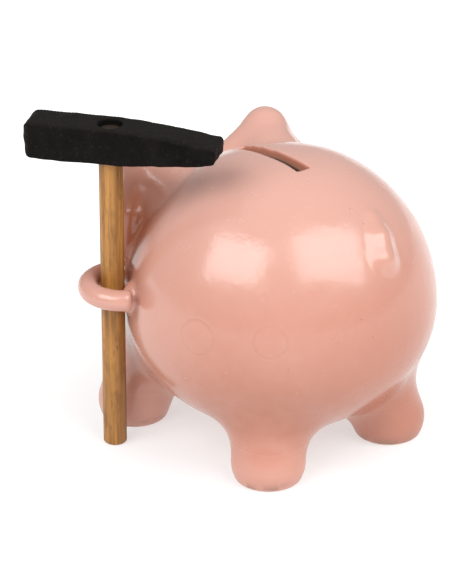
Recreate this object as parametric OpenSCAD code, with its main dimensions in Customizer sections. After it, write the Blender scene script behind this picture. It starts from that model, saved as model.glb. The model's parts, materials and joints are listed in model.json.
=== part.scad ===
// Glazed pottery piggy bank that carries its own little hammer in a loop on its left shoulder.
// Millimetres. The pig faces -Y, its left side is +X, and the table is z = 0.
// Inside the modules the pig stands on its own vertical axis; place() moves it so that the
// origin is the centre of the base of the whole object's box.

/* [Pig body] */
// Greatest radius of the body, seen from above
body_r = 56.8; // [54:0.1:58]
// Height of the greatest girth above the table
girth_z = 52; // [48:0.5:58]
// Depth of the body below the greatest girth
belly_depth = 45.5; // [40:0.5:47]
// Thickness of the pottery
wall = 4.3; // [3:0.1:6]

/* [Coin slot] */
// Length of the slot along the spine
slot_len = 37; // [28:0.5:44]
// Width of the slot
slot_w = 5.5; // [4.5:0.1:7]
// Distance of the slot's middle in front of the body's axis
slot_forward = 6; // [0:0.5:10]

/* [Legs] */
// Radius of a leg
leg_r = 13.4; // [12:0.1:15]
// Radius of the flat sole
sole_r = 11.6; // [9:0.1:11.9]
// Outward slope of the legs from the vertical
leg_splay = 19; // [10:1:24]
// Sideways distance of a rear foot from the spine
rear_foot_x = 28; // [26:0.5:34]
// Distance of the rear feet behind the body's axis
rear_foot_y = 28.5; // [26:0.5:34]
// Sideways distance of a front foot from the spine
front_foot_x = 37; // [28:0.5:38]
// Distance of the front feet in front of the body's axis
front_foot_y = 39.5; // [28:0.5:40]

/* [Head] */
// Radius of the snout
snout_r = 17; // [12:0.5:20]
// How far the snout stands out of the body
snout_out = 11; // [7:0.5:15]
// Height of the snout's middle
snout_z = 50; // [42:0.5:56]
// Radius of a nostril
nostril_r = 2.6; // [1.5:0.1:3.5]
// Radius of an ear where it leaves the body
ear_r = 15; // [12:0.5:17]
// Height of an ear above the body
ear_h = 20; // [15:0.5:22]
// Radius of an ear's round tip
ear_tip_r = 6.5; // [4:0.1:7]
// Angle of the ears above the horizontal, seen from the body's centre
ear_rise = 39; // [36:1:46]
// Angle of the ears away from the spine, seen from above
ear_spread = 33; // [28:1:38]

/* [Tail] */
// Radius of the round end of the tail
tail_r = 7.4; // [5:0.1:8]
// Height of the tail above the body
tail_proud = 2.8; // [1.5:0.1:4]
// Angle of the round end of the tail above the horizontal
tail_rise = 33; // [20:1:38]

/* [Hammer loop] */
// Radius of the loop's centre line
loop_ring_r = 12.4; // [12.1:0.1:15]
// Radius of the rolled clay
loop_tube_r = 3.9; // [3.5:0.1:4.2]
// Height of the loop above the table
loop_z = 63; // [56:0.1:70]
// Angle of the loop round the body, measured from straight left towards the face
loop_turn = 25; // [15:1:35]
// Distance of the loop's centre outside the body's greatest radius
loop_gap = 1.1; // [0:0.1:3]

/* [Hammer] */
// Radius of the wooden handle
handle_r = 4.3; // [3:0.05:4.5]
// Clear gap between the handle and the body's greatest girth
handle_gap = 0.35; // [0.3:0.05:1]
// Angle of the handle round the body, measured from straight left towards the face
handle_turn = 25.8; // [15:0.1:35]
// Height of the underside of the hammer head above the table
head_z = 112; // [111:0.5:118]
// Height of the hammer head
head_h = 14.2; // [10:0.1:18]
// Width of the hammer head
head_w = 14.4; // [11:0.1:18]
// Distance of the striking face from the handle's axis
face_reach = 30.5; // [24:0.5:36]
// Distance of the cross peen's tip from the handle's axis
peen_reach = 39.5; // [30:0.5:44]
// Distance from the handle's axis at which the head starts to taper
taper_start = 9.5; // [7:0.5:14]
// Height of the cross peen's tip
peen_h = 6.8; // [4:0.1:9]
// Direction of the cross peen, turned from straight left towards the tail
peen_turn = 128.5; // [0:0.5:359]
// How far the top of the handle is sunk below the top of the head
handle_sunk = 2.6; // [1:0.1:5]

/* [Hidden] */
$fn = 96;

GLAZE = [0.86, 0.55, 0.47];
WOOD = [0.70, 0.48, 0.25];
IRON = [0.06, 0.06, 0.065];

LEFT = 1;
RIGHT = -1;
FRONT = -1;
REAR = 1;
over = 1;                       // overshoot of a cutting solid
big = 200;                      // larger than anything here

// The lower half of the body is an oval of two arcs: a small one at the girth that runs
// into a large one under the belly. Their centres follow from the two semi-axes.
side_arc_r = 34;
side_arc_x = body_r - side_arc_r;
belly_rest = belly_depth - side_arc_r;
belly_centre_up = (side_arc_x * side_arc_x - belly_rest * belly_rest) / (2 * belly_rest);
belly_arc_r = belly_depth + belly_centre_up;
belly_centre_z = girth_z + belly_centre_up;
arc_join_a = atan2(belly_centre_up, side_arc_x);
arc_join_x = side_arc_x + side_arc_r * cos(arc_join_a);
arc_cross = 0.02;               // the side arc is this much larger, so that the two arcs cross cleanly

handle_ring = body_r + handle_gap + handle_r;
handle_x = handle_ring * cos(handle_turn);
handle_y = -handle_ring * sin(handle_turn);
eye_gap = 0.05;                 // running gap between the handle and the eye of the head
handle_end_round = 0.9;
loop_x = (body_r + loop_gap) * cos(loop_turn);
loop_y = -(body_r + loop_gap) * sin(loop_turn);

// The box of the whole object: the body on the right, the head's striking end on the left,
// the snout in front and the body behind.
face_chamfer = 2.2;
edge_chamfer = 0.8;
function head_point(along, across) = [
    handle_x + along * cos(peen_turn) - across * sin(peen_turn),
    handle_y + along * sin(peen_turn) + across * cos(peen_turn)
];
function head_corners() = [
    for (side = [-1, 1])
        for (cut = [0, face_chamfer])
            head_point(-face_reach + cut, side * (head_w / 2 - face_chamfer + cut))
];
box_x_high = max([for (p = head_corners()) p[0]]);
box_x_low = -body_r;
box_y_high = body_r;
box_y_low = -body_r - snout_out;
centre_x = (box_x_high + box_x_low) / 2;
centre_y = (box_y_high + box_y_low) / 2;

// Moves the pig's own axis to its place in the object's box.
module place() {
    translate([-centre_x, -centre_y, 0])
        children();
}

// Right half of the body's outline, a distance of skin inside the outer surface.
module body_outline(skin) {
    translate([0, girth_z])
        intersection() {
            circle(r = body_r - skin);
            square([big, big]);
        }
    intersection() {
        union() {
            translate([side_arc_x - arc_cross, girth_z])
                circle(r = side_arc_r + arc_cross - skin);
            intersection() {
                translate([0, belly_centre_z])
                    circle(r = belly_arc_r - skin);
                square([arc_join_x - skin * cos(arc_join_a), big]);
            }
        }
        translate([0, girth_z - big])
            square([big, big]);
    }
}

// The whole body as a solid, a distance of skin inside the outer surface.
module body_form(skin) {
    rotate_extrude()
        body_outline(skin);
}

// Keeps only what lies outside the body, so that a luted-on piece sits on the pottery.
module on_body() {
    difference() {
        children();
        body_form(0);
    }
}

// Turns +Z to the direction that leaves the body's centre at an angle above the horizontal
// (rise) and round from straight left towards the tail (turn).
module from_centre(rise, turn) {
    translate([0, 0, girth_z])
        rotate([0, 90 - rise, turn])
            children();
}

module pig_body() {
    slot_end_r = 0.9;
    color(GLAZE)
        place()
            difference() {
                body_form(0);
                body_form(wall);
                translate([0, -slot_forward, girth_z])
                    linear_extrude(height = big)
                        union() {
                            square([slot_w, slot_len - 2 * slot_end_r], center = true);
                            square([slot_w - 2 * slot_end_r, slot_len], center = true);
                            for (x = [-1, 1], y = [-1, 1])
                                translate([x * (slot_w / 2 - slot_end_r), y * (slot_len / 2 - slot_end_r)])
                                    circle(r = slot_end_r);
                        }
            }
}

// A flat round snout with a rolled rim and two nostrils.
module snout() {
    rim_r = 3.2;
    nostril_depth = 5;
    nostril_apart = 12;
    root = 12;
    color(GLAZE)
        place()
            on_body()
                difference() {
                    translate([0, -body_r - snout_out, snout_z])
                        rotate([-90, 0, 0])
                            rotate_extrude() {
                                square([snout_r - rim_r, snout_out + root]);
                                translate([0, rim_r])
                                    square([snout_r, snout_out + root - rim_r]);
                                translate([snout_r - rim_r, rim_r])
                                    circle(r = rim_r);
                            }
                    for (side = [LEFT, RIGHT])
                        translate([side * nostril_apart / 2, -body_r - snout_out - over, snout_z])
                            rotate([-90, 0, 0])
                                cylinder(r = nostril_r, h = nostril_depth + over);
                }
}

// An ear: a round-tipped cone with a shallow scoop in its forward side.
module ear(side) {
    root = 6;
    tip_z = ear_h - ear_tip_r;
    base_to_tip = norm([ear_r, tip_z]);
    flank_a = acos(ear_tip_r / base_to_tip) - atan2(tip_z, ear_r);
    touch = [ear_tip_r * cos(flank_a), tip_z + ear_tip_r * sin(flank_a)];
    scoop_r = 15;
    scoop_up = 8;
    scoop_deep = 3.4;
    tip_cross = 0.003;          // the tip is this much larger, so that it crosses the flank cleanly
    color(GLAZE)
        place()
            on_body()
                from_centre(ear_rise, -90 + side * ear_spread)
                    translate([0, 0, body_r])
                        difference() {
                            rotate_extrude() {
                                polygon([[0, -root], [ear_r, -root], [ear_r, 0], touch, [0, touch[1]]]);
                                intersection() {
                                    translate([0, tip_z])
                                        circle(r = ear_tip_r + tip_cross);
                                    square([big, big]);
                                }
                            }
                            translate([scoop_r + scoop_deep, 0, scoop_up])
                                sphere(r = scoop_r);
                        }
}

// A short stub of a leg that leans out from the belly. Its foot is a ball cut flat by the table.
module leg(foot_x, foot_y) {
    ball_z = sqrt(leg_r * leg_r - sole_r * sole_r);
    stub = 30;
    color(GLAZE)
        place()
            on_body()
                difference() {
                    translate([foot_x, foot_y, ball_z])
                        rotate([0, -leg_splay, atan2(foot_y, foot_x)])
                            rotate_extrude() {
                                intersection() {
                                    circle(r = leg_r);
                                    translate([0, -big])
                                        square([big, big]);
                                }
                                square([leg_r, stub]);
                            }
                    translate([-big / 2, -big / 2, -big])
                        cube(big);
                }
}

// A teardrop of clay laid on the rump: a round end that thins out up the back to the pig's right.
module tail() {
    pearls = 3;
    rise_step = 5;
    turn_first = 101;
    turn_step = 2.5;
    shrink = 0.86;
    $fn = 240;
    color(GLAZE)
        place()
            on_body()
                for (i = [0 : pearls - 1])
                    from_centre(tail_rise + i * rise_step, turn_first + i * turn_step)
                        translate([0, 0, body_r + (tail_proud - tail_r) * pow(shrink, i)])
                            sphere(r = tail_r * pow(shrink, i));
}

// A rolled clay ring whose two ends join the shoulder; only the part outside the body remains.
module hammer_loop() {
    color(GLAZE)
        place()
            on_body()
                translate([loop_x, loop_y, loop_z])
                    rotate_extrude()
                        translate([loop_ring_r, 0])
                            circle(r = loop_tube_r);
}

// A plain round dowel with a rounded foot, standing on the table in the loop.
module hammer_handle() {
    handle_len = head_z + head_h - handle_sunk;
    color(WOOD)
        place()
            translate([handle_x, handle_y, 0])
                rotate_extrude() {
                    square([handle_r - handle_end_round, handle_len]);
                    translate([0, handle_end_round])
                        square([handle_r, handle_len - handle_end_round]);
                    translate([handle_r - handle_end_round, handle_end_round])
                        circle(r = handle_end_round);
                }
}

// Outline of the head from the side: a square bar that tapers to the cross peen.
module head_side() {
    low = (head_h - peen_h) / 2;
    polygon([
        [-face_reach, face_chamfer],
        [-face_reach + face_chamfer, 0],
        [taper_start, 0],
        [peen_reach - edge_chamfer, low],
        [peen_reach, low + edge_chamfer],
        [peen_reach, head_h - low - edge_chamfer],
        [peen_reach - edge_chamfer, head_h - low],
        [taper_start, head_h],
        [-face_reach + face_chamfer, head_h],
        [-face_reach, head_h - face_chamfer]
    ]);
}

// Outline of the head from above, with the striking face's edges cut off.
module head_top() {
    half = head_w / 2;
    polygon([
        [-face_reach, half - face_chamfer],
        [-face_reach + face_chamfer, half],
        [peen_reach - edge_chamfer, half],
        [peen_reach, half - edge_chamfer],
        [peen_reach, -half + edge_chamfer],
        [peen_reach - edge_chamfer, -half],
        [-face_reach + face_chamfer, -half],
        [-face_reach, -half + face_chamfer]
    ]);
}

// Outline of the head from the end, with all four long edges chamfered.
module head_end() {
    half = head_w / 2;
    polygon([
        [-half, edge_chamfer],
        [-half + edge_chamfer, 0],
        [half - edge_chamfer, 0],
        [half, edge_chamfer],
        [half, head_h - edge_chamfer],
        [half - edge_chamfer, head_h],
        [-half + edge_chamfer, head_h],
        [-half, head_h - edge_chamfer]
    ]);
}

module hammer_head() {
    color(IRON)
        place()
            translate([handle_x, handle_y, head_z])
                rotate([0, 0, peen_turn])
                    difference() {
                        intersection() {
                            translate([0, head_w, 0])
                                rotate([90, 0, 0])
                                    linear_extrude(height = 2 * head_w)
                                        head_side();
                            translate([0, 0, -over])
                                linear_extrude(height = head_h + 2 * over)
                                    head_top();
                            translate([-big / 2, 0, 0])
                                rotate([90, 0, 90])
                                    linear_extrude(height = big)
                                        head_end();
                        }
                        translate([0, 0, -over])
                            cylinder(r = handle_r + eye_gap, h = head_h + 2 * over);
                    }
}

pig_body();
snout();
ear(LEFT);  // ear_left
ear(RIGHT);  // ear_right
leg(LEFT * front_foot_x, FRONT * front_foot_y);  // leg_front_left
leg(RIGHT * front_foot_x, FRONT * front_foot_y);  // leg_front_right
leg(LEFT * rear_foot_x, REAR * rear_foot_y);  // leg_rear_left
leg(RIGHT * rear_foot_x, REAR * rear_foot_y);  // leg_rear_right
tail();
hammer_loop();
hammer_handle();
hammer_head();
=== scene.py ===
"""Looks of the piggy bank: one glazed pottery skin, a wooden handle and a cast hammer head."""

import json
import math

import bpy
import numpy as np
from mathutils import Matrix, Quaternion, Vector


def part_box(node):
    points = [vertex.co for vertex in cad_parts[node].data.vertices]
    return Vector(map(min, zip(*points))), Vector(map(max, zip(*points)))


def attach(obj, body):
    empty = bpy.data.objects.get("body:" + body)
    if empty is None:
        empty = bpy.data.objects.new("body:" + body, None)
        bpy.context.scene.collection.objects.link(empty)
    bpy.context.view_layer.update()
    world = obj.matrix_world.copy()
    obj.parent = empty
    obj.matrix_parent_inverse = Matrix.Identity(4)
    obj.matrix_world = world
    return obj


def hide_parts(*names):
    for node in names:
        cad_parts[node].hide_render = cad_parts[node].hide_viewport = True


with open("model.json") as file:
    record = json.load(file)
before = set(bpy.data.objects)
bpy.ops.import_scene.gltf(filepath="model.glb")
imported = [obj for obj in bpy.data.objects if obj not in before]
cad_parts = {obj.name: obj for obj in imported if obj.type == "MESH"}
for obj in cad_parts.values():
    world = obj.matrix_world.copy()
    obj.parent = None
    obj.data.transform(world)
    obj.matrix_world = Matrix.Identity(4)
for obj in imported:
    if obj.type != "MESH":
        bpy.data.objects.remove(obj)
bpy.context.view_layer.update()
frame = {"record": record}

MM = 0.001


# ---------------------------------------------------------------- places, from the frame
# Everything below is in millimetres in the pig's own frame: the pig's vertical axis is
# x = y = 0, it faces -y, its left side is +x and the table is z = 0.

def box_mm(node):
    """Lowest and highest corner of a CAD node, in millimetres in the row frame."""
    return tuple(np.array(corner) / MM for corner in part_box(node))


body_low, body_high = box_mm("pig_body")
PIG_AXIS = np.array([(body_low[0] + body_high[0]) / 2, (body_low[1] + body_high[1]) / 2, 0])


def pig_box(node):
    """Lowest and highest corner of a CAD node, in the pig's own frame."""
    low, high = box_mm(node)
    return low - PIG_AXIS, high - PIG_AXIS


def pig_point(metres):
    """A point of the row frame, in metres, as a point in the pig's own frame."""
    return np.array(metres) / MM - PIG_AXIS


BODY_R = (body_high[0] - body_low[0]) / 2
SLOT_W = 5.5
SLOT_LEN = 37.0
SLOT_Y = -6.0
GIRTH_Z = body_high[2] - math.sqrt(BODY_R ** 2 - (SLOT_W / 2) ** 2)
BELLY_DEPTH = GIRTH_Z - body_low[2]
CENTRE = np.array([0, 0, GIRTH_Z])
WALL = 4.3
LEG_R = 13.4
SOLE_R = 11.6
LEG_SPLAY = math.radians(19)
EAR_RISE = math.radians(39)
EAR_SPREAD = math.radians(33)
EAR_H = 20.0
EAR_ROOT_R = 14.5
EAR_TIP_R = 6.5
SKIN_TRIM = 0.12      # how far the skin stays inside the CAD surface, so that its bumps do too

SOLES = {m["name"]: pig_point(m["pos_m"])
         for m in frame["record"]["mounts"] if m["name"].startswith("sole_")}

handle_low, handle_high = pig_box("hammer_handle")
HANDLE_XY = (handle_low[:2] + handle_high[:2]) / 2
HANDLE_R = (handle_high[0] - handle_low[0]) / 2

loop_low, loop_high = pig_box("hammer_loop")
LOOP_TUBE_R = (loop_high[2] - loop_low[2]) / 2
LOOP_RING_R = 12.4
LOOP_OUTER_R = LOOP_RING_R + LOOP_TUBE_R
# Two level directions at the handle: round the body towards the tail, and in behind the loop.
ROUND_TURN = math.radians(38)
REARWARD = np.array([math.sin(ROUND_TURN), math.cos(ROUND_TURN)])
INWARD = np.array([-math.cos(ROUND_TURN), math.sin(ROUND_TURN)])
LOOP = np.array([loop_high[0] - LOOP_OUTER_R, loop_low[1] + LOOP_OUTER_R,
                 (loop_low[2] + loop_high[2]) / 2])

snout_low, snout_high = pig_box("snout")
SNOUT_R = (snout_high[0] - snout_low[0]) / 2
SNOUT_Z = (snout_low[2] + snout_high[2]) / 2
SNOUT_FRONT = snout_low[1]

head_low, head_high = pig_box("hammer_head")
HEAD_Z = head_low[2]
HEAD_H = head_high[2] - head_low[2]


def from_centre(rise, turn):
    """Unit vector that leaves the body's centre at an angle above the horizontal, and round
    from straight left towards the tail. Both angles are in radians."""
    return np.array([math.cos(rise) * math.cos(turn), math.cos(rise) * math.sin(turn),
                     math.sin(rise)])


# ---------------------------------------------------------------- distance fields
# A field takes points (n, 3) and gives their distance from a surface, negative inside.

def smooth_min(a, b, blend):
    """The union of two fields, with a fillet about blend wide."""
    h = np.clip(0.5 + 0.5 * (b - a) / blend, 0, 1)
    return b + (a - b) * h - blend * h * (1 - h)


def smooth_max(a, b, blend):
    """The intersection of two fields, with a rounded edge about blend wide."""
    return -smooth_min(-a, -b, blend)


def ball(p, centre, radius):
    return np.linalg.norm(p - centre, axis=1) - radius


def rod(p, start, end, start_r, end_r):
    """A round-ended rod whose radius goes evenly from start_r to end_r."""
    along = end - start
    t = np.clip((p - start) @ along / (along @ along), 0, 1)
    return np.linalg.norm(p - start - t[:, None] * along, axis=1) - (start_r + (end_r - start_r) * t)


def rounded_box(p, half, radius):
    """A box round the origin with rounded edges; p may have two or three columns."""
    q = np.abs(p) - (np.array(half) - radius)
    return np.linalg.norm(np.maximum(q, 0), axis=1) + np.minimum(q.max(axis=1), 0) - radius


def wobble(p, seed, wavelength, height, waves=10):
    """A gentle random unevenness: a sum of sine waves in random directions."""
    rng = np.random.default_rng(seed)
    total = np.zeros(len(p))
    for _ in range(waves):
        direction = rng.normal(size=3)
        direction /= np.linalg.norm(direction)
        length = wavelength * rng.uniform(0.7, 1.4)
        total += np.sin(p @ direction * (2 * math.pi / length) + rng.uniform(0, 2 * math.pi))
    return total * height / math.sqrt(waves)


def body_field(p):
    """The nearly round body: a ball above the girth and a flatter oval below it."""
    q = p - CENTRE
    radii = np.empty_like(q)
    radii[:, :2] = BODY_R
    radii[:, 2] = np.where(q[:, 2] > 0, BODY_R, BELLY_DEPTH)
    near = np.linalg.norm(q / radii, axis=1)
    slope = np.linalg.norm(q / radii ** 2, axis=1)
    return near * (near - 1) / np.maximum(slope, 1e-9)


def leg_field(p, sole):
    """A round stub that leans out from the belly; its foot is a ball."""
    up = math.sqrt(LEG_R ** 2 - SOLE_R ** 2)
    foot = sole + [0, 0, up]
    outward = np.array([sole[0], sole[1], 0]) / math.hypot(sole[0], sole[1])
    lean = np.array([0, 0, math.cos(LEG_SPLAY)]) - outward * math.sin(LEG_SPLAY)
    return rod(p, foot, foot + lean * 30, LEG_R, LEG_R)


def ear_axis(side):
    """The direction from the body's centre to the tip of the ear on side +1 (left) or -1."""
    return from_centre(EAR_RISE, -math.pi / 2 + side * EAR_SPREAD)


def ear_flap(p, side, tip):
    """The outer edge of an ear: it bends over and hangs down along the cheek to the girth."""
    cheek = from_centre(0, -math.pi / 2 + side * math.radians(50)) * (BODY_R + 0.5)
    hem = cheek + [0, 0, GIRTH_Z - 2]
    bend = from_centre(math.radians(30), -math.pi / 2 + side * math.radians(45.5))
    bend = CENTRE + bend * (BODY_R + 4.5)
    hem_r, bend_r = 3.4, 5.6
    return np.minimum(rod(p, hem, bend, hem_r, bend_r), rod(p, bend, tip, bend_r, EAR_TIP_R - 0.1))


def ear_field(p, side):
    """A broad ear: a web runs from its round tip towards the spine, its outer edge hangs down
    along the cheek, and it is scooped out below in front."""
    axis = ear_axis(side)
    root = CENTRE + axis * (BODY_R - 1)
    tip = CENTRE + axis * (BODY_R + EAR_H - EAR_TIP_R - 0.1)
    to_spine = np.cross(axis, [0, 0, side])
    to_spine /= np.linalg.norm(to_spine)
    down = np.cross(axis, to_spine)
    down *= -np.sign(down[2])
    cone = rod(p, root, tip - axis * 1.2, EAR_ROOT_R, EAR_TIP_R + 0.7)
    web = rod(p, root + to_spine * 17 - axis * 2, tip - axis * 0.5 + to_spine * 1.5, 7, EAR_TIP_R)
    scoop = ball(p, CENTRE + axis * (BODY_R + 10) + down * 18.4, 15)
    scooped = smooth_max(smooth_min(cone, web, 5), -scoop, 2.5)
    return smooth_min(scooped, ear_flap(p, side, tip - axis), 3)


def snout_field(p):
    """A flat round snout with a rolled rim and two nostrils."""
    root = -BODY_R + 10
    middle = (SNOUT_FRONT + root) / 2
    q = np.stack([np.hypot(p[:, 0], p[:, 2] - SNOUT_Z), p[:, 1] - middle], axis=1)
    disc = rounded_box(q, [SNOUT_R - 0.1, (root - SNOUT_FRONT) / 2 - 0.05], 4.2)
    dish = ball(p, np.array([0, SNOUT_FRONT - 38.8, SNOUT_Z]), 40)
    disc = smooth_max(disc, -dish, 3)
    for side in (-1, 1):
        nostril = rod(p, np.array([side * 5.6, SNOUT_FRONT - 2, SNOUT_Z + 0.5]),
                      np.array([side * 5.2, SNOUT_FRONT + 4.5, SNOUT_Z + 0.5]), 2.6, 2.1)
        disc = smooth_max(disc, -nostril, 1.6)
    return disc


def tail_field(p):
    """A teardrop of clay laid on the rump, thinning out upwards."""
    def spot(rise, turn, proud, radius):
        way = from_centre(math.radians(rise), math.radians(turn))
        return CENTRE + way * (BODY_R + proud - radius)
    bulb = spot(33, 101, 2.8, 7.0)
    waist = spot(40, 105, 2.0, 5.6)
    point = spot(47, 108.5, 0.7, 4.2)
    return smooth_min(rod(p, bulb, waist, 7.0, 5.6), rod(p, waist, point, 5.6, 4.2), 2)


def loop_field(p):
    """The rolled clay ring, a little uneven, whose rear arm is cut off just past the handle."""
    q = p - LOOP
    ring = np.hypot(np.hypot(q[:, 0], q[:, 1]) - LOOP_RING_R, q[:, 2]) - LOOP_TUBE_R
    ring += 0.1 + wobble(p, 5, 9, 0.06)
    behind = (p[:, :2] - HANDLE_XY) @ REARWARD
    beyond = (p[:, :2] - HANDLE_XY) @ INWARD - HANDLE_R - 2.8
    return smooth_max(ring, np.minimum(beyond, behind), 1.5)


def slip_field(p):
    """The lump of slip that lutes the cut end of the loop to the shoulder and sags below it."""
    def spot(beyond, behind, below):
        level = HANDLE_XY + INWARD * (HANDLE_R + beyond) + REARWARD * (HANDLE_R + behind)
        return np.append(level, LOOP[2] - below)
    end, sag, root = spot(0.6, 2.4, 2.4), spot(1.0, -0.3, 7.0), spot(3.2, -1.5, 0.5)
    return np.minimum(rod(p, end, sag, 2.6, 2.0), rod(p, end, root, 2.6, 3.4))


def slot_field(p):
    """The coin slot as a tall round-cornered prism."""
    flat = np.stack([p[:, 0], p[:, 1] - SLOT_Y], axis=1)
    prism = rounded_box(flat, [SLOT_W / 2, SLOT_LEN / 2], 0.9)
    return np.maximum(prism, GIRTH_Z - p[:, 2])


def skin_field(p):
    """The body's own skin: a little uneven, and pressed flatter where the slot was cut."""
    off_slot = p[:, 0] ** 2 + (p[:, 1] - SLOT_Y) ** 2
    pressed = 1.5 * np.exp(-off_slot / (2 * 11 ** 2))
    skin = body_field(p) + wobble(p, 3, 34, 0.05) + SKIN_TRIM
    return skin + np.where(p[:, 2] > GIRTH_Z, pressed, 0)


def pottery_field(p):
    """The whole glazed skin: everything that is clay, hollow inside."""
    skin = skin_field(p)
    solid = skin
    for sole in SOLES.values():
        solid = smooth_min(solid, leg_field(p, sole), 11)
    for side in (-1, 1):
        solid = smooth_min(solid, ear_field(p, side), 2.5)
    solid = smooth_min(solid, snout_field(p), 5)
    solid = smooth_min(solid, tail_field(p), 2.2)
    solid = smooth_min(solid, loop_field(p), 1.6)
    solid = smooth_min(solid, slip_field(p), 1.5)
    solid = smooth_max(solid, -p[:, 2], 1.0)
    # the wall is a little thicker round the slot, where the cut has raised a burr inside
    slot = slot_field(p)
    burr = 0.7 * np.clip(1 - slot / 7, 0, 1)
    solid = smooth_max(solid, -(skin + WALL + burr), 1.5)
    return smooth_max(solid, -slot, 0.5)


# ---------------------------------------------------------------- meshing a field

def slope_of(field, points, step=0.02):
    """The field's gradient."""
    shifts = np.eye(3) * step
    return np.stack([field(points + s) - field(points - s) for s in shifts], axis=1) / (2 * step)


def settle(field, points, rounds, most):
    """Moves points onto the surface, each by no more than most in a round."""
    for _ in range(rounds):
        slope = slope_of(field, points)
        size = np.maximum((slope ** 2).sum(axis=1), 0.05)
        move = -slope * (field(points) / size)[:, None]
        far = np.linalg.norm(move, axis=1)
        points = points + move * np.minimum(1, most / np.maximum(far, 1e-9))[:, None]
    return points


def relax(field, points, quads, rounds, most):
    """Slides points along the surface towards their neighbours, which evens the faces."""
    edges = np.concatenate([quads[:, [i, (i + 1) % 4]] for i in range(4)])
    edges = np.concatenate([edges, edges[:, ::-1]])
    count = np.bincount(edges[:, 0], minlength=len(points))[:, None]
    for _ in range(rounds):
        mean = np.stack([np.bincount(edges[:, 0], points[edges[:, 1], k], len(points))
                         for k in range(3)], axis=1) / count
        normal = slope_of(field, points)
        normal /= np.maximum(np.linalg.norm(normal, axis=1, keepdims=True), 1e-9)
        move = mean - points
        move -= normal * (move * normal).sum(axis=1, keepdims=True)
        points = settle(field, points + 0.5 * move, 1, most)
    return points


def surface_net(field, lines):
    """Points and quads of the surface of a field, from its values where three sets of grid
    lines cross. Each cell that the surface passes through gets one point."""
    grid = np.stack(np.meshgrid(*lines, indexing="ij"), axis=-1)
    shape = np.array(grid.shape[:3])
    value = np.concatenate([field(slab.reshape(-1, 3)) for slab in grid]).reshape(shape)
    total = np.zeros((*(shape - 1), 3))
    count = np.zeros(shape - 1, int)
    crossings = []
    for axis in range(3):
        low = [slice(None)] * 3
        high = [slice(None)] * 3
        low[axis], high[axis] = slice(0, -1), slice(1, None)
        v0, v1 = value[tuple(low)], value[tuple(high)]
        crossed = (v0 < 0) != (v1 < 0)
        share = np.where(crossed, v0 / np.where(crossed, v0 - v1, 1), 0)[..., None]
        place = grid[tuple(low)] * (1 - share) + grid[tuple(high)] * share
        side_a, side_b = [k for k in range(3) if k != axis]
        for a in (0, 1):
            for b in (0, 1):
                part = [slice(None)] * 3
                part[side_a] = slice(a, shape[side_a] - 1 + a)
                part[side_b] = slice(b, shape[side_b] - 1 + b)
                part = tuple(part)
                total += place[part] * crossed[part][..., None]
                count += crossed[part]
        crossings.append((crossed, v0 < 0))
    used = count > 0
    number = np.full(used.shape, -1)
    number[used] = np.arange(used.sum())
    points = total[used] / count[used][:, None]
    quads = []
    for axis, (crossed, solid_below) in enumerate(crossings):
        first, second = (axis + 1) % 3, (axis + 2) % 3
        at = np.argwhere(crossed)
        corners = []
        for a, b in ((1, 1), (0, 1), (0, 0), (1, 0)):
            cell = at.copy()
            cell[:, first] -= a
            cell[:, second] -= b
            corners.append(number[tuple(cell.T)])
        quad = np.stack(corners, axis=1)
        flip = ~solid_below[tuple(at.T)]
        quad[flip] = quad[flip][:, ::-1]
        quads.append(quad)
    return points, np.concatenate(quads)


def grid_lines(low, high, pitch, fine=()):
    """Grid lines from low to high, pitch apart, and closer inside each (from, to, pitch)."""
    at, lines = low, [low]
    while at < high:
        step = min([pitch] + [p for start, end, p in fine if start <= at < end])
        at += step
        lines.append(at)
    return np.array(lines)


def mesh_piece(name, points, faces):
    """A smooth-shaded Blender object, in metres, of points in millimetres in the pig's frame."""
    mesh = bpy.data.meshes.new(name)
    mesh.from_pydata(((points + PIG_AXIS) * MM).tolist(), [], faces)
    mesh.shade_smooth()
    piece = bpy.data.objects.new(name, mesh)
    bpy.context.scene.collection.objects.link(piece)
    return piece


def smooth_piece(name, field, lines, pitch, rounds=3):
    """A Blender object of the surface of a field."""
    points, quads = surface_net(field, lines)
    points = settle(field, points, 3, pitch / 2)
    points = relax(field, points, quads, rounds, pitch / 2)
    points = settle(field, points, 2, pitch / 4)
    return mesh_piece(name, points, quads.tolist())


# ---------------------------------------------------------------- hammer

HEAD_WAY = math.radians(128.5)      # the way that the peen points, round from straight left
HEAD_W = 14.4
FACE_REACH = 30.5
PEEN_REACH = 39.5
TAPER_START = 9.5
PEEN_H = 6.8
FOOT_ROUND = 1.0
DOWEL_SIDES = 96


def head_field(p):
    """The cast head: a square bar that tapers to a cross peen, with worn edges."""
    q = p - [HANDLE_XY[0], HANDLE_XY[1], HEAD_Z]
    along = q[:, 0] * math.cos(HEAD_WAY) + q[:, 1] * math.sin(HEAD_WAY)
    across = -q[:, 0] * math.sin(HEAD_WAY) + q[:, 1] * math.cos(HEAD_WAY)
    up = q[:, 2] - HEAD_H / 2
    worn = 1.2
    trim = 0.1
    middle = (PEEN_REACH - FACE_REACH) / 2
    half = np.array([PEEN_REACH + FACE_REACH, HEAD_W, HEAD_H]) / 2 - trim
    bar = rounded_box(np.stack([along - middle, across, up], axis=1), half, worn)
    drop = (HEAD_H - PEEN_H) / 2
    slope = math.atan2(drop, PEEN_REACH - TAPER_START)
    taper = (np.abs(up) - HEAD_H / 2) * math.cos(slope) + (along - TAPER_START) * math.sin(slope)
    bar = smooth_max(bar, taper, 2.0)
    # the edges of the striking face are cut back at 45 degrees
    bevel = 2.2
    outward = np.maximum(np.abs(across), np.abs(up)) - HEAD_H / 2
    face = (outward - along - FACE_REACH + bevel) * math.sqrt(0.5)
    bar = smooth_max(bar, face, 0.8)
    bar = bar + 2 * trim + wobble(p, 8, 4.5, 0.08) + wobble(p, 9, 11, 0.10)
    eye = np.hypot(along, across) - (HANDLE_R + 0.05)
    return smooth_max(bar, -eye, 0.5)


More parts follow.
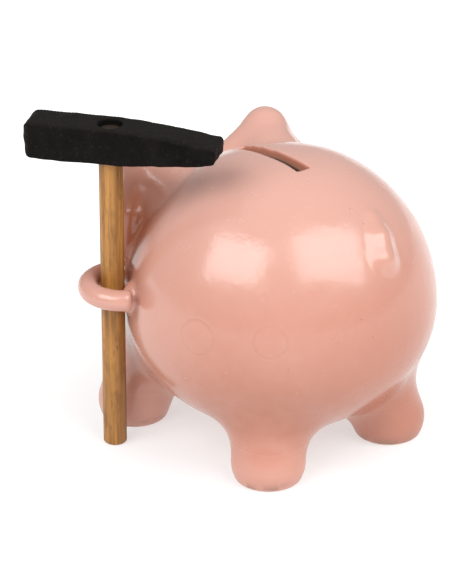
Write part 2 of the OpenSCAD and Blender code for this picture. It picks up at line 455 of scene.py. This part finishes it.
def dowel_rows():
    """Height and radius of each ring of points: a rounded foot, then straight up to a flat top."""
    top = handle_high[2]
    rows = [(0, HANDLE_R - FOOT_ROUND)]
    for i in range(1, 7):
        a = math.pi / 2 * i / 6
        rows.append((FOOT_ROUND * (1 - math.cos(a)), HANDLE_R - FOOT_ROUND * (1 - math.sin(a))))
    rows += [(z, HANDLE_R) for z in np.linspace(FOOT_ROUND + 1.5, top - 0.5, 72)]
    return rows + [(top - 0.15, HANDLE_R - 0.1), (top, HANDLE_R - 0.45)]


def handle_piece():
    """The turned dowel: rings of points whose radius wavers a little, closed at both ends."""
    rows = dowel_rows()
    turns = 2 * math.pi * np.arange(DOWEL_SIDES) / DOWEL_SIDES
    points = np.array([[r * math.cos(turn), r * math.sin(turn), z] for z, r in rows for turn in turns])
    dent = wobble(points * [1, 1, 0.12], 21, 3.2, 0.022)
    dent -= dent.max()
    radial = points[:, :2] / np.linalg.norm(points[:, :2], axis=1)[:, None]
    points[:, :2] += radial * dent[:, None] + HANDLE_XY
    faces = []
    for row in range(len(rows) - 1):
        for k in range(DOWEL_SIDES):
            a, b = row * DOWEL_SIDES + k, row * DOWEL_SIDES + (k + 1) % DOWEL_SIDES
            faces.append([a, b, b + DOWEL_SIDES, a + DOWEL_SIDES])
    last = (len(rows) - 1) * DOWEL_SIDES
    faces.append(list(range(DOWEL_SIDES))[::-1])
    faces.append([last + k for k in range(DOWEL_SIDES)])
    piece = mesh_piece("wooden_handle", points, faces)
    for end in piece.data.polygons[-2:]:
        end.use_smooth = False
    return piece


# ---------------------------------------------------------------- materials

class Nodes:
    """Short ways to add and join shader nodes."""

    def __init__(self, name):
        self.material = bpy.data.materials.new(name)
        self.material.use_nodes = True
        self.tree = self.material.node_tree
        self.shader = self.tree.nodes["Principled BSDF"]

    def add(self, kind, links=(), **values):
        node = self.tree.nodes.new(kind)
        for name, value in values.items():
            setattr(node, name, value)
        for socket, source in dict(links).items():
            self.put(node, socket, source)
        return node

    def put(self, node, socket, source):
        if isinstance(source, bpy.types.NodeSocket):
            self.tree.links.new(source, node.inputs[socket])
        else:
            node.inputs[socket].default_value = source

    def place(self, scale=(1, 1, 1), shift=(0, 0, 0)):
        """The point on the piece, in millimetres in the row frame."""
        where = self.add("ShaderNodeTexCoord").outputs["Object"]
        size = tuple(s / MM for s in scale)
        return self.add("ShaderNodeMapping", {"Vector": where, "Scale": size, "Location": shift}).outputs[0]

    def noise(self, vector, wavelength, detail=2.0, rough=0.5):
        return self.add("ShaderNodeTexNoise", {"Vector": vector, "Scale": 1 / wavelength, "Detail": detail,
                                               "Roughness": rough}).outputs["Fac"]

    def spread(self, value, low, high, to_low=0.0, to_high=1.0):
        return self.add("ShaderNodeMapRange", {0: value, 1: low, 2: high, 3: to_low, 4: to_high}).outputs[0]

    def math(self, how, a, b=0.0, c=0.0):
        return self.add("ShaderNodeMath", {0: a, 1: b, 2: c}, operation=how).outputs[0]

    def mix(self, share, a, b, how="MIX"):
        node = self.add("ShaderNodeMix", data_type="RGBA", blend_type=how)
        self.put(node, 0, share)
        self.put(node, 6, a if isinstance(a, bpy.types.NodeSocket) else (*a, 1))
        self.put(node, 7, b if isinstance(b, bpy.types.NodeSocket) else (*b, 1))
        return node.outputs[2]

    def split(self, vector):
        """The x, y and z of a vector."""
        return self.add("ShaderNodeSeparateXYZ", {"Vector": vector}).outputs[:]

    def away(self, vector, point):
        """The distance of a point on the piece from a fixed point."""
        return self.add("ShaderNodeVectorMath", {0: vector, 1: tuple(point)},
                        operation="DISTANCE").outputs["Value"]

    def bump(self, height, distance, under=None):
        links = {"Height": height, "Distance": distance, "Strength": 1.0}
        if under is not None:
            links["Normal"] = under
        return self.add("ShaderNodeBump", links).outputs[0]

    def finish(self, **inputs):
        for socket, source in inputs.items():
            self.put(self.shader, socket.replace("_", " "), source)
        return self.material


# the top, low and foot glaze tones stand for painted light and shade as well as the glaze's own tone
GLAZE_PALE_LIT = (0.600, 0.330, 0.270)
GLAZE_MID = (0.505, 0.222, 0.158)
GLAZE_LOW_SHADE = (0.425, 0.155, 0.094)
GLAZE_FOOT_LIT = (0.610, 0.285, 0.215)
# painted shadow behind the left ear and the handle
GLAZE_PAINTED_SHADOW = (0.36, 0.105, 0.045)
GLAZE_CUT = (0.50, 0.185, 0.115)
GLAZE_RING = (0.36, 0.16, 0.11)
SPECK = (0.30, 0.12, 0.08)
PINHOLE = (0.30, 0.10, 0.06)
EYE_PAINT = (0.012, 0.010, 0.010)
FOOT_RIM_DARK = (0.30, 0.165, 0.115)
CLAY_DARK = (0.60, 0.34, 0.23)
CLAY_PALE = (0.68, 0.42, 0.30)
# painted shade: the inside of the wall is darkened
CLAY_INSIDE_SHADED = (0.14, 0.070, 0.042)

# Marks on the body, as (rise, turn, radius): degrees as in from_centre, and millimetres.
PINHOLES = ((47, 99, 0.3), (54, 97, 0.25), (15, 82, 0.35), (7.5, 86, 0.3), (0, 54, 0.3))
PRESSED_RINGS = ((8, 20, 6.5), (10, 47.5, 6.0))
EYES = ((20, -114, 2.6), (20, -66, 2.6))


def on_body(rise, turn):
    """A point on the outside of the body, in millimetres in the row frame."""
    way = from_centre(math.radians(rise), math.radians(turn))
    down = BELLY_DEPTH if rise < 0 else BODY_R
    reach = 1 / math.hypot(math.hypot(way[0], way[1]) / BODY_R, way[2] / down)
    return CENTRE + way * reach + PIG_AXIS


def run_glaze(n, at, side, z):
    """The glaze's colour, with painted light and shade: pale on the back, darker on the belly, lighter on
    the feet.
    """
    # painted light and shade: paler towards the top, darker low down, lighter again on the feet
    colour = n.mix(n.spread(z, 60, 105), GLAZE_MID, GLAZE_PALE_LIT)
    colour = n.mix(n.spread(z, 26, 62, 1, 0), colour, GLAZE_LOW_SHADE)
    colour = n.mix(n.spread(z, 7, 22, 1, 0), colour, GLAZE_FOOT_LIT)
    colour = n.mix(n.spread(n.noise(at, 26, 3), 0.3, 0.7, 0, 0.16), colour, GLAZE_PALE_LIT)
    colour = n.mix(n.spread(n.noise(at, 5, 3), 0.35, 0.75, 0, 0.12), colour, GLAZE_PALE_LIT)
    # painted shade and light: darker low on the right, paler on the left, and a painted shadow behind the
    # left ear
    across = n.math("ADD", n.math("MULTIPLY", side[0], INWARD[0]), n.math("MULTIPLY", side[1], INWARD[1]))
    right_shade = n.math("MULTIPLY", n.spread(across, 0, 50, 0, 0.75), n.spread(z, 52, 84, 1, 0))
    colour = n.mix(right_shade, colour, GLAZE_LOW_SHADE)
    colour = n.mix(n.spread(across, -54, -28, 0.45, 0), colour, GLAZE_PALE_LIT)
    ear_shadow = n.spread(n.away(at, on_body(22, -47) + [2, -2, 0]), 14, 32, 0.9, 0)
    return n.mix(ear_shadow, colour, GLAZE_PAINTED_SHADOW)


def marked_glaze(n, at, z, colour):
    """Adds specks, pinholes, the two painted eyes and darker patches at the rims of the feet."""
    cells = n.add("ShaderNodeTexVoronoi", {"Vector": at, "Scale": 1 / 15, "Randomness": 1.0})
    dot = n.math("LESS_THAN", cells.outputs["Distance"], 0.018)
    colour = n.mix(n.math("MULTIPLY", dot, 0.3), colour, SPECK)
    for rise, turn, radius in PINHOLES:
        hole = n.math("LESS_THAN", n.away(at, on_body(rise, turn)), radius)
        colour = n.mix(n.math("MULTIPLY", hole, 0.5), colour, PINHOLE)
    for rise, turn, radius in EYES:
        eye = n.spread(n.away(at, on_body(rise, turn)), radius, radius + 0.3, 1, 0)
        colour = n.mix(eye, colour, EYE_PAINT)
    # darker in patches just above the soles
    rim_dark = n.math("MULTIPLY", n.spread(z, 1.0, 4.5, 1, 0), n.spread(n.noise(at, 4, 3), 0.42, 0.6))
    return n.mix(n.math("MULTIPLY", rim_dark, 0.7), colour, FOOT_RIM_DARK)


def inside_share(n, side, z):
    """1 on the inner face of the wall, 0 outside: how far a point is from the body's centre."""
    squeeze = n.math("MULTIPLY_ADD", n.math("LESS_THAN", z, GIRTH_Z), BODY_R / BELLY_DEPTH - 1, 1)
    up = n.math("MULTIPLY", n.math("SUBTRACT", z, GIRTH_Z), squeeze)
    flat = n.math("ADD", n.math("MULTIPLY", side[0], side[0]), n.math("MULTIPLY", side[1], side[1]))
    depth = n.math("SQRT", n.math("ADD", flat, n.math("MULTIPLY", up, up)))
    return n.spread(depth, BODY_R - WALL - 0.6, BODY_R - WALL + 0.4, 1, 0)


def cut_share(n, side, z):
    """1 on the walls of the slot, which are rough and darker where it was cut, 0 elsewhere."""
    near_x = n.spread(n.math("ABSOLUTE", side[0]), SLOT_W / 2 + 0.05, SLOT_W / 2 + 0.35, 1, 0)
    off_y = n.math("ABSOLUTE", n.math("SUBTRACT", side[1], SLOT_Y))
    near_y = n.spread(off_y, SLOT_LEN / 2 + 0.05, SLOT_LEN / 2 + 0.35, 1, 0)
    return n.math("MULTIPLY", n.math("MULTIPLY", near_x, near_y), n.math("GREATER_THAN", z, 90))


def glaze_material():
    n = Nodes("salmon_glaze")
    at = n.place()
    x, y, z = n.split(at)
    side = (n.math("SUBTRACT", x, PIG_AXIS[0]), n.math("SUBTRACT", y, PIG_AXIS[1]))
    colour = marked_glaze(n, at, z, run_glaze(n, at, side, z))
    cut = cut_share(n, side, z)
    colour = n.mix(n.math("MULTIPLY", cut, 0.9), colour, GLAZE_CUT)
    # bare clay under the feet and inside
    inside = inside_share(n, side, z)
    bare = n.math("MAXIMUM", n.spread(z, 0.35, 0.7, 1, 0), inside)
    clay = n.mix(n.spread(n.noise(at, 1.5, 3), 0.35, 0.65), CLAY_DARK, CLAY_PALE)
    colour = n.mix(bare, colour, clay)
    # painted shade darkens the inside of the wall
    colour = n.mix(inside, colour, CLAY_INSIDE_SHADED)
    # orange peel, and two faint rings where something round pressed the wet clay
    patchy = n.spread(n.noise(at, 20, 2), 0.42, 0.62, 0.25, 1.0)
    normal = n.bump(n.math("MULTIPLY", n.noise(at, 2.0, 2), patchy), 0.09 * MM)
    normal = n.bump(n.noise(at, 6, 2), 0.10 * MM, normal)
    for rise, turn, radius in PRESSED_RINGS:
        off = n.math("ABSOLUTE", n.math("SUBTRACT", n.away(at, on_body(rise, turn)), radius))
        normal = n.bump(n.spread(off, 0, 0.8, 0, 1), 0.07 * MM, normal)
        colour = n.mix(n.spread(off, 0.1, 0.6, 0.14, 0), colour, GLAZE_RING)
    # glossy, but duller on the feet and dull where the clay is bare or cut
    rough = n.spread(n.noise(at, 9, 3), 0.3, 0.7, 0.17, 0.28)
    rough = n.math("MAXIMUM", rough, n.spread(z, 10, 24, 0.42, 0))
    rough = n.math("MAXIMUM", rough, n.math("MULTIPLY", n.math("MAXIMUM", bare, cut), 0.85))
    coat = n.math("MULTIPLY_ADD", bare, -0.25, 0.25)
    return n.finish(Base_Color=colour, Roughness=rough, Normal=normal, IOR=1.5, Coat_Weight=coat,
                    Coat_Roughness=0.14, Coat_Normal=normal)


WOOD_DARK = (0.145, 0.060, 0.012)
WOOD_PALE = (0.51, 0.230, 0.044)
WOOD_BAND = (0.29, 0.125, 0.028)
WOOD_STAIN = (0.15, 0.060, 0.014)
WOOD_PORE = (0.14, 0.05, 0.015)
WOOD_END = (0.022, 0.013, 0.008)


def wood_material():
    """Streaky beech: every noise is drawn out along the handle."""
    n = Nodes("beech_dowel")
    grain = n.noise(n.place((1, 1, 0.05)), 1.5, 4, 0.6)
    band = n.noise(n.place((1, 1, 0.02)), 4.5, 2)
    stain = n.noise(n.place((1, 1, 0.35)), 3.2, 3, 0.6)
    pores = n.noise(n.place((1, 1, 0.12)), 0.55, 1)
    colour = n.mix(n.spread(grain, 0.3, 0.7), WOOD_DARK, WOOD_PALE)
    colour = n.mix(n.spread(band, 0.35, 0.65, 0, 0.6), colour, WOOD_BAND)
    colour = n.mix(n.spread(stain, 0.5, 0.72, 0, 0.55), colour, WOOD_STAIN)
    colour = n.mix(n.spread(pores, 0.66, 0.72, 0, 0.7), colour, WOOD_PORE)
    # the end in the head's eye is blackened
    top = n.spread(n.split(n.place())[2], handle_high[2] - 0.6, handle_high[2] - 0.2)
    colour = n.mix(top, colour, WOOD_END)
    normal = n.bump(grain, 0.08 * MM, n.bump(pores, -0.06 * MM))
    rough = n.spread(grain, 0.3, 0.7, 0.62, 0.45)
    return n.finish(Base_Color=colour, Roughness=rough, Normal=normal)


IRON_DARK = (0.0028, 0.0022, 0.0018)
IRON_PALE = (0.0075, 0.0063, 0.0055)
IRON_GRIT = (0.026, 0.024, 0.021)
# painted light on the faces that look up
IRON_TOP_LIGHT = (0.024, 0.021, 0.018)


def iron_material():
    """Rough black casting with specks of grit."""
    n = Nodes("blackened_iron")
    at = n.place()
    grit = n.noise(at, 1.1, 4, 0.65)
    patch = n.noise(at, 8, 3)
    colour = n.mix(n.spread(patch, 0.35, 0.7), IRON_DARK, IRON_PALE)
    colour = n.mix(n.spread(grit, 0.58, 0.72, 0, 0.6), colour, IRON_GRIT)
    # painted light: the faces that look up are lighter
    facing = n.split(n.add("ShaderNodeNewGeometry").outputs["Normal"])[2]
    colour = n.mix(n.spread(facing, 0.3, 0.95, 0, 0.3), colour, IRON_TOP_LIGHT)
    normal = n.bump(grit, 0.4 * MM, n.bump(n.noise(at, 3.5, 3), 0.5 * MM))
    rough = n.spread(patch, 0.3, 0.7, 0.52, 0.7)
    return n.finish(Base_Color=colour, Roughness=rough, Normal=normal, Specular_IOR_Level=0.06)


PAPER_DARK = (0.40, 0.40, 0.40)
PAPER_PALE = (0.42, 0.42, 0.42)


def table_material():
    """White paper that glows as painted light, more and more strongly away from the pig."""
    n = Nodes("white_table")
    at = n.place()
    colour = n.mix(n.spread(n.noise(at, 60, 3), 0.3, 0.7), PAPER_DARK, PAPER_PALE)
    # painted light: the glow is weaker near the pig, so the shadow shows only close by
    glow = n.spread(n.away(at, (0, 0, 0)), 45, 150, 0.56, 0.88)
    return n.finish(Base_Color=colour, Roughness=0.8, Specular_IOR_Level=0.2,
                    Emission_Color=(1, 1, 1, 1), Emission_Strength=glow)


# ---------------------------------------------------------------- making the pieces

def finish_piece(piece, body, material, slot, *nodes):
    piece.data.materials.append(material)
    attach(piece, body)
    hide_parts(*nodes)
    return piece


def make_pottery():
    pitch, fine, reach = 1.25, 0.6, 1.5
    edge = SLOT_W / 2 + reach
    slot_ends = (SLOT_Y - SLOT_LEN / 2, SLOT_Y + SLOT_LEN / 2)
    # the grid goes past the skin on every side, and is finer at the slot and the soles
    lines = [
        grid_lines(-60, 78, pitch, [(-edge, edge, fine)]),
        grid_lines(-70, 62, pitch, [(end - reach, end + reach, fine) for end in slot_ends]),
        grid_lines(-2, 116, pitch, [(-2, 2.5, fine)]),
    ]
    skin = smooth_piece("pottery_pig", pottery_field, lines, pitch)
    return finish_piece(skin, "pig", glaze_material(), "glaze", "pig_body", "snout", "ear_left",
                        "ear_right", "leg_front_left", "leg_front_right", "leg_rear_left",
                        "leg_rear_right", "tail", "hammer_loop")


def make_head():
    pitch, margin = 0.8, 2
    lines = [grid_lines(low - margin, high + margin, pitch) for low, high in zip(head_low, head_high)]
    head = smooth_piece("cast_head", head_field, lines, pitch, rounds=1)
    return finish_piece(head, "head", iron_material(), "iron", "hammer_head")


def make_handle():
    return finish_piece(handle_piece(), "handle", wood_material(), "wood", "hammer_handle")


def make_table():
    bpy.ops.mesh.primitive_plane_add(size=6, location=(0, 0, 0))
    table = bpy.context.object
    table.name = "table"
    table.data.materials.append(table_material())


# ---------------------------------------------------------------- light and camera

CAMERA_AZIMUTH = 142.09
CAMERA_ELEVATION = 26.03
CAMERA_DISTANCE = 1.15
CAMERA_AIM = (0.00466, -0.00656, 0.0541)
LENS_LENGTH = 196


def toward(azimuth, elevation):
    """Unit vector from the object to a viewer; azimuth 0 is in front, both in degrees."""
    a, e = math.radians(azimuth), math.radians(elevation)
    return Vector((math.sin(a) * math.cos(e), -math.cos(a) * math.cos(e), math.sin(e)))


def softbox(name, azimuth, elevation, width, height, radiance, roll=0.0, distance=1.3):
    """A rectangular studio light that faces the pig, turned by roll degrees about its own axis."""
    light = bpy.data.lights.new(name, "AREA")
    light.shape = "RECTANGLE"
    light.size, light.size_y = width, height
    light.energy = radiance * math.pi * width * height
    lamp = bpy.data.objects.new(name, light)
    aim = toward(azimuth, elevation)
    lamp.location = Vector((*(PIG_AXIS[:2] * MM), GIRTH_Z * MM)) + aim * distance
    turned = aim.to_track_quat("Z", "Y") @ Quaternion((0, 0, 1), math.radians(roll))
    lamp.rotation_euler = turned.to_euler()
    lamp.visible_camera = False
    bpy.context.scene.collection.objects.link(lamp)


SKY_STRENGTH = 0.46


def make_lights():
    softbox("softbox_left", 94, 45, 0.98, 0.70, 5.0, roll=14)
    softbox("softbox_right", 195, 47, 1.20, 0.86, 4.2, roll=-27)
    world = bpy.data.worlds.new("studio")
    bpy.context.scene.world = world
    world.use_nodes = True
    sky = world.node_tree.nodes["Background"]
    sky.inputs["Color"].default_value = (1, 1, 1, 1)
    sky.inputs["Strength"].default_value = SKY_STRENGTH


def make_camera():
    lens = bpy.data.cameras.new("camera")
    lens.sensor_width = 36
    lens.lens = LENS_LENGTH
    lens.clip_start, lens.clip_end = 0.05, 20
    camera = bpy.data.objects.new("camera", lens)
    way = toward(CAMERA_AZIMUTH, CAMERA_ELEVATION)
    camera.location = Vector(CAMERA_AIM) + way * CAMERA_DISTANCE
    camera.rotation_euler = way.to_track_quat("Z", "Y").to_euler()
    bpy.context.scene.collection.objects.link(camera)
    bpy.context.scene.camera = camera
    bpy.context.scene.view_settings.view_transform = "Standard"


make_pottery()
make_head()
make_handle()
make_table()
make_lights()
make_camera()
